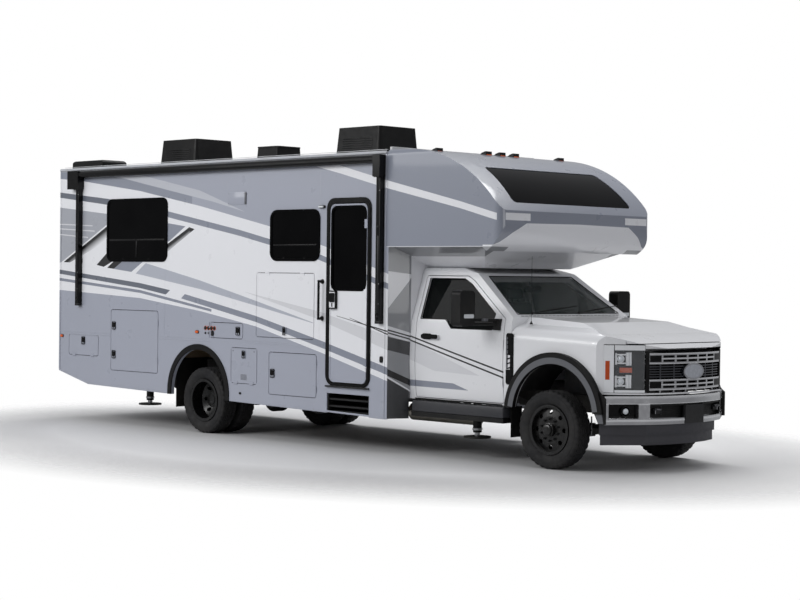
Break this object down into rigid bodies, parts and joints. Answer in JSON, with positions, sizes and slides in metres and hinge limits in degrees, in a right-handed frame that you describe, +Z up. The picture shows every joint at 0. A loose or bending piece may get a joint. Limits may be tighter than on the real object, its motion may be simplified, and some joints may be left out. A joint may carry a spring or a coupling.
{
  "type": "motorhome",
  "caption": "Motorhome: striped coach body with an over-cab bunk on a truck chassis with twin rear wheels, awning, entry door, stowage hatches and opening cab doors and hood",
  "frame": {"origin": "on the ground at the middle of the bounding box", "axes": "+X forward, +Y left, +Z up"},
  "size_m": [9.58, 2.864, 3.742],
  "materials": {
    "frame_black": "satin black chassis paint",
    "cast_metal": "cast and machined metal",
    "tank_plastic": "moulded plastic",
    "exhaust_steel": "aluminised steel",
    "tyre_rubber": "tyre rubber",
    "rim_black": "black painted steel wheel",
    "coach_paint": "gloss coach paint with stripes",
    "roof_white": "roof membrane",
    "floor_wood": "laminated floor panel",
    "dark_glass": "dark privacy glass",
    "clear_glass": "tinted safety glass",
    "trim_black": "grained black plastic",
    "trim_grey": "grey moulded plastic",
    "gloss_black": "black powder coat",
    "flap_rubber": "rubber sheet",
    "lamp_amber": "amber lamp lens",
    "lamp_clear": "clear lamp lens",
    "seat_fabric": "woven seat cloth",
    "cab_paint": "gloss white paint",
    "chrome_bright": "bright plated trim"
  },
  "bodies": {
    "chassis": {"air_dam": "trim_black", "arch_trims": "trim_black", "awning": "gloss_black", "cab_shell": "cab_paint", "coach_floor": "floor_wood", "coach_roof": "roof_white", "coach_windows": "dark_glass", "dashboard": "trim_grey", "entry_frame": "trim_black", "entry_step": "trim_black", "exhaust": "exhaust_steel", "frame_rails": "frame_black", "front_axle": "frame_black", "front_bumper": "chrome_bright", "front_cap": "coach_paint", "front_fenders": "cab_paint", "grille": "chrome_bright", "headlamps": "lamp_clear", "left_wall": "coach_paint", "levelling_jacks": "frame_black", "marker_lamps": "lamp_amber", "mud_flaps": "flap_rubber", "powertrain": "cast_metal", "rear_axle": "frame_black", "rear_wall": "coach_paint", "right_wall": "coach_paint", "roof_units": "gloss_black", "running_boards": "trim_black", "seats": "seat_fabric", "storage_boxes": "tank_plastic", "under_tanks": "tank_plastic", "windscreen": "clear_glass"},
    "hood": {"hood": "cab_paint"},
    "cab_door_right": {"cab_door_right": "cab_paint", "cab_door_glass_right": "clear_glass", "mirror_right": "trim_black"},
    "knuckle_right": {"knuckle_right": "cast_metal"},
    "front_wheel_right": {"front_rim_right": "rim_black", "front_tyre_right": "tyre_rubber"},
    "rear_wheels_right": {"rear_rims_right": "rim_black", "rear_tyres_right": "tyre_rubber"},
    "cab_door_left": {"cab_door_left": "cab_paint", "cab_door_glass_left": "clear_glass", "mirror_left": "trim_black"},
    "knuckle_left": {"knuckle_left": "cast_metal"},
    "front_wheel_left": {"front_rim_left": "rim_black", "front_tyre_left": "tyre_rubber"},
    "rear_wheels_left": {"rear_rims_left": "rim_black", "rear_tyres_left": "tyre_rubber"},
    "entry_door": {"entry_door": "coach_paint", "entry_door_glass": "dark_glass"},
    "steering_wheel": {"steering_wheel": "trim_grey"},
    "rear_storage_door_right": {"rear_storage_door_right": "coach_paint"},
    "corner_hatch_right": {"corner_hatch_right": "coach_paint"},
    "power_hatch_right": {"power_hatch_right": "coach_paint"},
    "utility_hatch_right": {"utility_hatch_right": "coach_paint"},
    "front_storage_door_right": {"front_storage_door_right": "coach_paint"},
    "galley_hatch_right": {"galley_hatch_right": "coach_paint"},
    "rear_storage_door_left": {"rear_storage_door_left": "coach_paint"},
    "front_storage_door_left": {"front_storage_door_left": "coach_paint"}
  },
  "joints": [
    {"name": "steer_right", "type": "hinge", "parent": "chassis", "child": "knuckle_right", "pos_m": [3.72, -0.79, 0.406], "axis": [0, 0, 1], "range_deg": [-32, 32]},
    {"name": "front_roll_right", "type": "hinge", "parent": "knuckle_right", "child": "front_wheel_right", "pos_m": [3.72, -0.945, 0.406], "axis": [0, 1, 0], "continuous": true},
    {"name": "rear_roll_right", "type": "hinge", "parent": "chassis", "child": "rear_wheels_right", "pos_m": [-1.72, -0.955, 0.406], "axis": [0, 1, 0], "continuous": true},
    {"name": "steer_left", "type": "hinge", "parent": "chassis", "child": "knuckle_left", "pos_m": [3.72, 0.79, 0.406], "axis": [0, 0, 1], "range_deg": [-32, 32]},
    {"name": "front_roll_left", "type": "hinge", "parent": "knuckle_left", "child": "front_wheel_left", "pos_m": [3.72, 0.945, 0.406], "axis": [0, 1, 0], "continuous": true},
    {"name": "rear_roll_left", "type": "hinge", "parent": "chassis", "child": "rear_wheels_left", "pos_m": [-1.72, 0.955, 0.406], "axis": [0, 1, 0], "continuous": true},
    {"name": "steering_wheel_turn", "type": "hinge", "parent": "chassis", "child": "steering_wheel", "pos_m": [2.61, 0.42, 1.4], "axis": [-0.8829, 0, 0.4695], "range_deg": [-480, 480]},
    {"name": "hood_lift", "type": "hinge", "parent": "chassis", "child": "hood", "pos_m": [3.179, 0, 1.548], "axis": [0, -1, 0], "range_deg": [0, 52]},
    {"name": "cab_door_swing_right", "type": "hinge", "parent": "chassis", "child": "cab_door_right", "pos_m": [3.052, -1.015, 1], "axis": [0, 0, 1], "range_deg": [0, 65]},
    {"name": "cab_door_swing_left", "type": "hinge", "parent": "chassis", "child": "cab_door_left", "pos_m": [3.052, 1.015, 1], "axis": [0, 0, -1], "range_deg": [0, 65]},
    {"name": "entry_door_swing", "type": "hinge", "parent": "chassis", "child": "entry_door", "pos_m": [1.258, -1.2913, 1.7], "axis": [0, 0, 1], "range_deg": [0, 95]},
    {"name": "rear_storage_door_right_swing", "type": "hinge", "parent": "chassis", "child": "rear_storage_door_right", "pos_m": [-2.56, -1.2773, 1.09], "axis": [0, 0, 1], "range_deg": [0, 90]},
    {"name": "corner_hatch_right_swing", "type": "hinge", "parent": "chassis", "child": "corner_hatch_right", "pos_m": [-4.178, -1.2773, 0.86], "axis": [1, 0, 0], "range_deg": [0, 90]},
    {"name": "power_hatch_right_swing", "type": "hinge", "parent": "chassis", "child": "power_hatch_right", "pos_m": [-1.525, -1.2773, 1.2785], "axis": [0, 0, -1], "range_deg": [0, 90]},
    {"name": "utility_hatch_right_swing", "type": "hinge", "parent": "chassis", "child": "utility_hatch_right", "pos_m": [-0.8745, -1.2773, 0.65], "axis": [1, 0, 0], "range_deg": [0, 90]},
    {"name": "front_storage_door_right_swing", "type": "hinge", "parent": "chassis", "child": "front_storage_door_right", "pos_m": [0.42, -1.2773, 0.8025], "axis": [0, 0, 1], "range_deg": [0, 90]},
    {"name": "galley_hatch_right_swing", "type": "hinge", "parent": "chassis", "child": "galley_hatch_right", "pos_m": [-0.145, -1.2773, 1.987], "axis": [-1, 0, 0], "range_deg": [0, 90]},
    {"name": "rear_storage_door_left_swing", "type": "hinge", "parent": "chassis", "child": "rear_storage_door_left", "pos_m": [-2.56, 1.2773, 1.09], "axis": [0, 0, -1], "range_deg": [0, 90]},
    {"name": "front_storage_door_left_swing", "type": "hinge", "parent": "chassis", "child": "front_storage_door_left", "pos_m": [0.42, 1.2773, 0.8025], "axis": [0, 0, -1], "range_deg": [0, 90]}
  ],
  "couplings": [
    {"joint": "steer_left", "follows": "steer_right", "ratio": 1},
    {"joint": "steering_wheel_turn", "follows": "steer_right", "ratio": 15}
  ]
}
